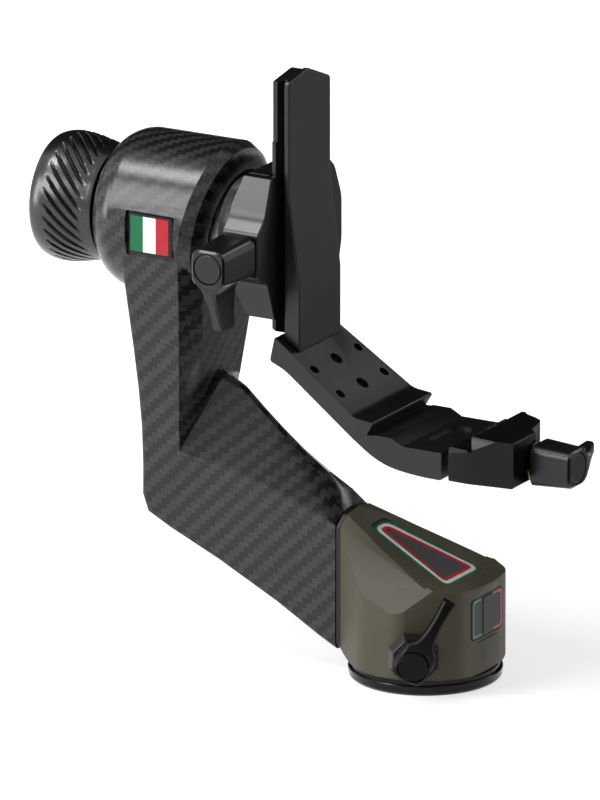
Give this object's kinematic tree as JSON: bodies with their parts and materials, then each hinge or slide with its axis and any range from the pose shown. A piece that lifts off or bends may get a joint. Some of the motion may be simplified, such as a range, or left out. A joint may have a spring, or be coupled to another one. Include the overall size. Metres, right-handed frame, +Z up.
{
  "type": "gimbal tripod head",
  "caption": "Side-mount gimbal head: carbon arm on a panning base, tilting dovetail clamp with a sliding riser, and a cranked cradle with a screw-closed lens clamp.",
  "frame": {"origin": "centre of the round base's underside, on the pan axis, where the tripod screw enters", "axes": "+Z up along the pan axis; +X from the arm and tilt knob towards the lens lever; -Y towards the pan lever and clamp lever"},
  "size_m": [0.2307, 0.0882, 0.2355],
  "materials": {
    "black_anodised": "black anodised, fine satin",
    "satin_black": "black anodised, satin",
    "carbon_twill": "woven carbon fibre under clear coat",
    "olive_paint": "olive hard coat",
    "steel": "turned",
    "brass": "turned",
    "green_inlay": "enamel",
    "white_inlay": "enamel",
    "red_inlay": "enamel",
    "dark_inlay": "matt"
  },
  "bodies": {
    "base": {"base_flange": "black_anodised", "thread_bush": "steel", "pan_spindle": "steel", "flange_screw_1": "steel", "flange_screw_2": "steel", "flange_screw_3": "steel", "pan_retaining_washer": "steel", "pan_retaining_screw": "steel"},
    "head": {"housing": "olive_paint", "pan_bearing_lower": "steel", "pan_bearing_upper": "steel", "top_badge_green": "green_inlay", "top_badge_white": "white_inlay", "top_badge_red": "red_inlay", "top_badge_centre": "dark_inlay", "end_badge_panel": "dark_inlay", "end_badge_green": "green_inlay", "end_badge_red": "red_inlay", "end_badge_plate": "dark_inlay", "arm_tongue": "black_anodised", "arm_bolt_1": "steel", "arm_bolt_2": "steel", "arm": "carbon_twill", "arm_label": "white_inlay", "pan_collar": "black_anodised", "brake_pad": "brass", "tilt_bearing_outer": "steel", "tilt_bearing_inner": "steel", "bearing_retainer": "black_anodised", "drag_disc": "dark_inlay"},
    "pan_brake": {"pan_lever": "satin_black", "pan_lever_cap": "satin_black", "pan_screw": "steel"},
    "drag_knob": {"tilt_knob": "black_anodised", "tilt_knob_cap": "satin_black"},
    "clamp": {"tilt_shaft": "steel", "shaft_bolt": "steel", "clamp_body": "satin_black", "clamp_pin_1": "steel", "clamp_pin_2": "steel"},
    "moving_jaw": {"clamp_jaw": "satin_black"},
    "clamp_handle": {"clamp_lever": "satin_black", "clamp_lever_cap": "satin_black", "clamp_screw": "steel"},
    "riser": {"riser_plate": "satin_black", "riser_rail": "satin_black", "rail_bolt_1": "steel", "rail_bolt_2": "steel", "rail_bolt_3": "steel", "cradle_bracket": "satin_black", "bracket_bolt_1": "steel", "bracket_bolt_2": "steel", "lens_pin_1": "steel", "lens_pin_2": "steel"},
    "lens_clamp": {"lens_jaw": "satin_black", "lens_washer": "brass"},
    "lens_handle": {"lens_lever": "satin_black", "lens_lever_cap": "satin_black", "lens_screw": "steel"}
  },
  "joints": [
    {"name": "pan", "type": "hinge", "parent": "base", "child": "head", "pos_m": [0, 0, 0], "axis": [0, 0, 1], "continuous": true},
    {"name": "pan_lock", "type": "hinge", "parent": "head", "child": "pan_brake", "pos_m": [0.01266, -0.03172, 0.0157], "axis": [0.5, -0.866, 0], "range_deg": [-50, 105]},
    {"name": "tilt_drag", "type": "hinge", "parent": "head", "child": "drag_knob", "pos_m": [-0.15, 0, 0.1687], "axis": [1, 0, 0], "range_deg": [-360, 360]},
    {"name": "tilt", "type": "hinge", "parent": "head", "child": "clamp", "pos_m": [-0.0758, 0, 0.1687], "axis": [1, 0, 0], "continuous": true},
    {"name": "clamp_slide", "type": "slide", "parent": "clamp", "child": "moving_jaw", "axis": [0, -1, 0], "range_m": [-0.0001, 0.00239]},
    {"name": "clamp_turn", "type": "hinge", "parent": "moving_jaw", "child": "clamp_handle", "pos_m": [-0.0646, -0.0327, 0.167], "axis": [0, -1, 0], "range_deg": [-30, 690]},
    {"name": "riser_height", "type": "slide", "parent": "clamp", "child": "riser", "axis": [0, 0, 1], "range_m": [-0.034, 0.005]},
    {"name": "lens_slide", "type": "slide", "parent": "riser", "child": "lens_clamp", "axis": [1, 0, 0], "range_m": [-0.00124, 0.00249]},
    {"name": "lens_turn", "type": "hinge", "parent": "lens_clamp", "child": "lens_handle", "pos_m": [0.0499, 0, 0.093], "axis": [1, 0, 0], "range_deg": [-360, 720]}
  ],
  "couplings": [
    {"joint": "clamp_turn", "follows": "clamp_slide", "rad_per_m": 5026.5},
    {"joint": "lens_turn", "follows": "lens_slide", "rad_per_m": 5026.5}
  ]
}
